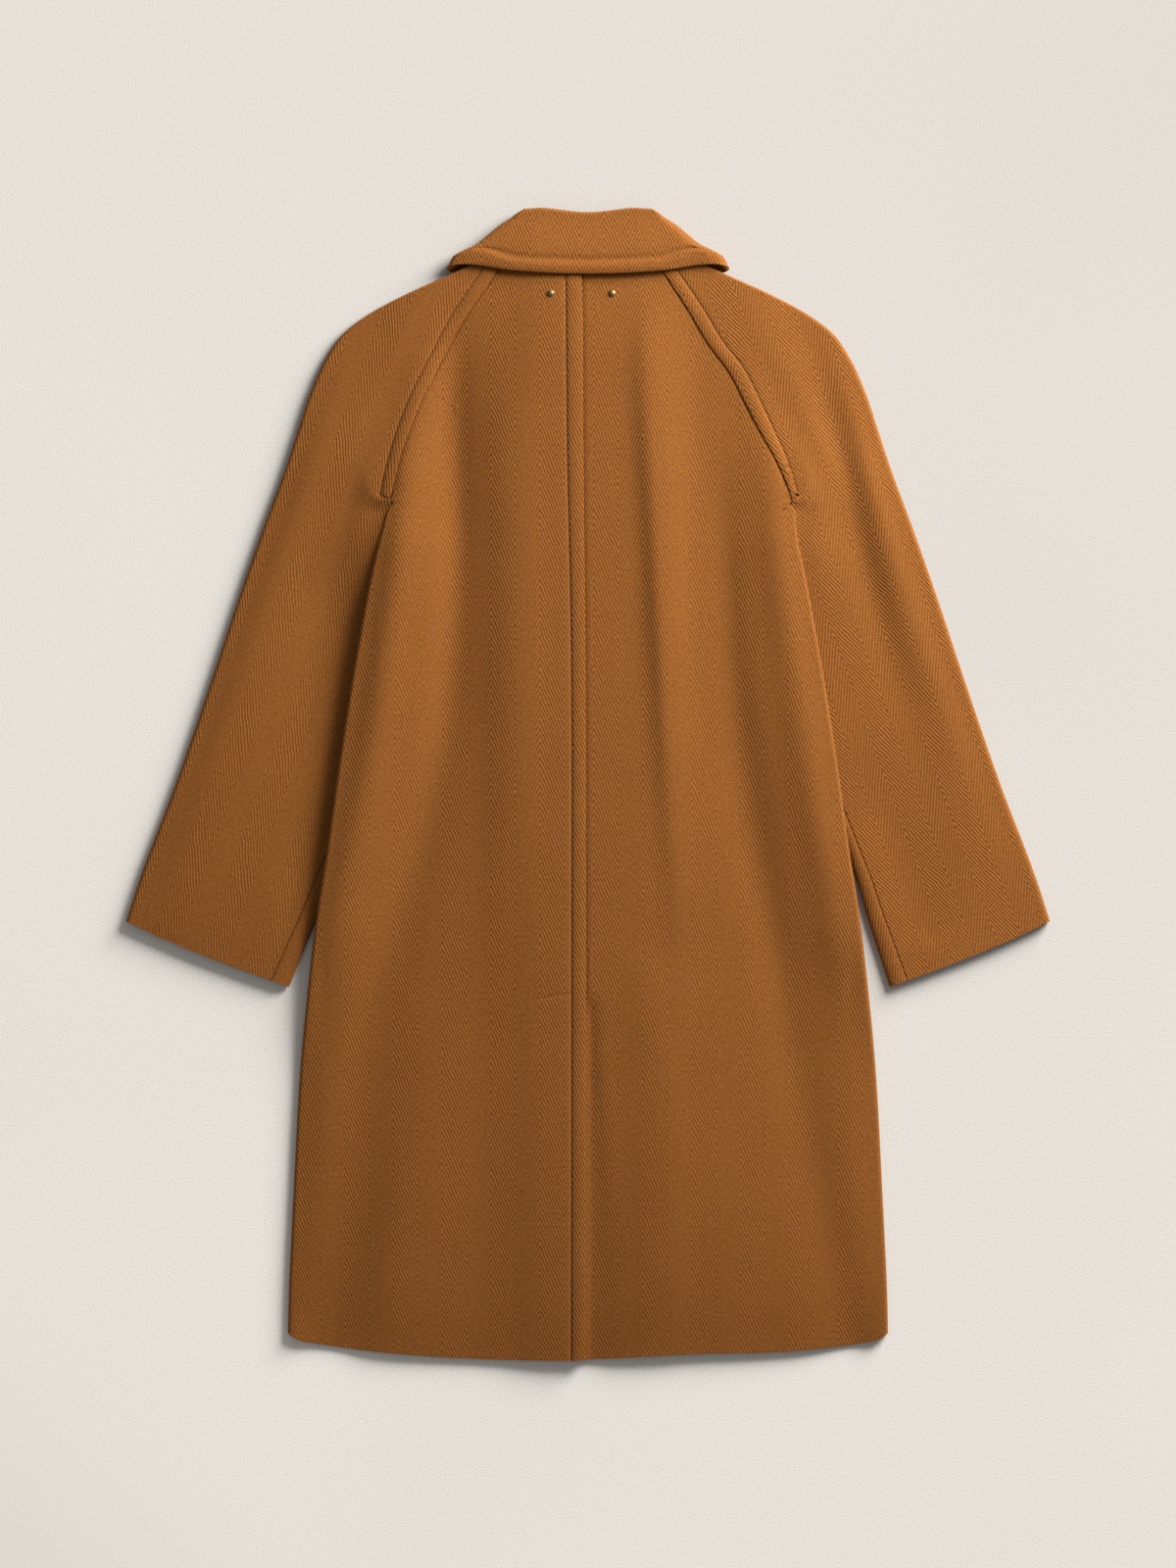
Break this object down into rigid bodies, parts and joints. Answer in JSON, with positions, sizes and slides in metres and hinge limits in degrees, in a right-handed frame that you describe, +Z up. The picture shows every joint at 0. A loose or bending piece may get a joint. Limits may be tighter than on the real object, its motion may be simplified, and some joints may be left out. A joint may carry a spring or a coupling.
{
  "type": "single-breasted coat",
  "caption": "Single-breasted raglan coat in herringbone wool, laid flat face down with its back up, with a turned-down collar, a lapped centre-back seam and a back vent.",
  "frame": {"origin": "centre of the coat's outline on the surface it lies on", "axes": "+Z up from the surface, +Y from the hem to the collar, +X to the wearer's right"},
  "size_m": [0.8496, 1.0595, 0.0186],
  "materials": {
    "coat_wool": "thick herringbone wool with a soft brushed nap",
    "button_horn": "satin dark horn",
    "stud_brass": "aged satin brass"
  },
  "bodies": {
    "root": {"back_left": "coat_wool", "back_right": "coat_wool", "front_left": "coat_wool", "front_right": "coat_wool", "sleeve_back_left": "coat_wool", "sleeve_front_left": "coat_wool", "sleeve_back_right": "coat_wool", "sleeve_front_right": "coat_wool", "collar_fall": "coat_wool", "collar_stand": "coat_wool", "button_1": "button_horn", "button_2": "button_horn", "button_3": "button_horn", "button_4": "button_horn", "stud_left": "stud_brass", "stud_right": "stud_brass"}
  },
  "joints": []
}
